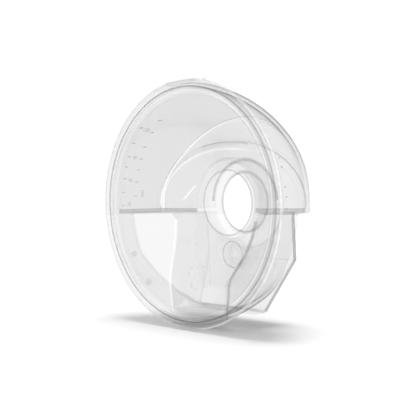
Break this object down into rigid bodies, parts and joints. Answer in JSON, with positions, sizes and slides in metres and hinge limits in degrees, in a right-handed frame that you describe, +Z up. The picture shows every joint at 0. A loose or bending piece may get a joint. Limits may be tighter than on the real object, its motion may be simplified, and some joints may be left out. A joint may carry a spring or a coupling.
{
  "type": "breast pump collection cup",
  "caption": "Clear wearable breast pump cup: round breast shield with open tunnel, domed milk chamber with a docking hollow behind, and a hollow rear cradle below.",
  "frame": {"origin": "centre of the front rim, in the plane of the rim's front face", "axes": "-Y faces the breast and +Y is the rear where the pump unit docks, +Z is up as the cup stands in the picture (milk chamber above, cradle below), X = 0 is the mirror plane"},
  "size_m": [0.115, 0.0482, 0.1136],
  "materials": {
    "clear_shell": "clear polished rigid plastic, slightly cool",
    "clear_silicone": "clear soft silicone, faintly milky, satin"
  },
  "bodies": {
    "cup": {"outer_shell": "clear_shell", "dock_wall": "clear_shell", "chamber_floor_left": "clear_shell", "chamber_floor_right": "clear_shell", "tunnel_collar": "clear_shell", "tunnel_seal": "clear_silicone", "stud_left_high": "clear_shell", "stud_left_low": "clear_shell", "stud_right_low": "clear_shell", "stud_right_high": "clear_shell", "cradle_frame": "clear_shell", "rear_cover": "clear_shell", "port_plate": "clear_shell", "vacuum_port": "clear_shell", "port_seal": "clear_silicone"},
    "shield": {"breast_shield": "clear_shell", "lift_tab_top": "clear_shell", "lift_tab_bottom": "clear_shell", "rim_gasket": "clear_silicone"},
    "valve": {"milk_valve": "clear_silicone"},
    "cap": {"port_cap": "clear_shell"},
    "diaphragm": {"backflow_diaphragm": "clear_silicone"}
  },
  "joints": [
    {"name": "shield_lift", "type": "slide", "parent": "cup", "child": "shield", "axis": [0, -1, 0], "range_m": [0, 0.055]},
    {"name": "valve_pull", "type": "slide", "parent": "shield", "child": "valve", "axis": [0, 0, 1], "range_m": [0, 0.012]},
    {"name": "cap_twist", "type": "hinge", "parent": "cup", "child": "cap", "pos_m": [0, 0.0386, -0.0254], "axis": [0, 1, 0], "range_deg": [-60, 0]},
    {"name": "diaphragm_breathe", "type": "slide", "parent": "cup", "child": "diaphragm", "axis": [0, 1, 0], "range_m": [-0.0008, 0.0008], "stiffness_N_per_m": 60}
  ]
}
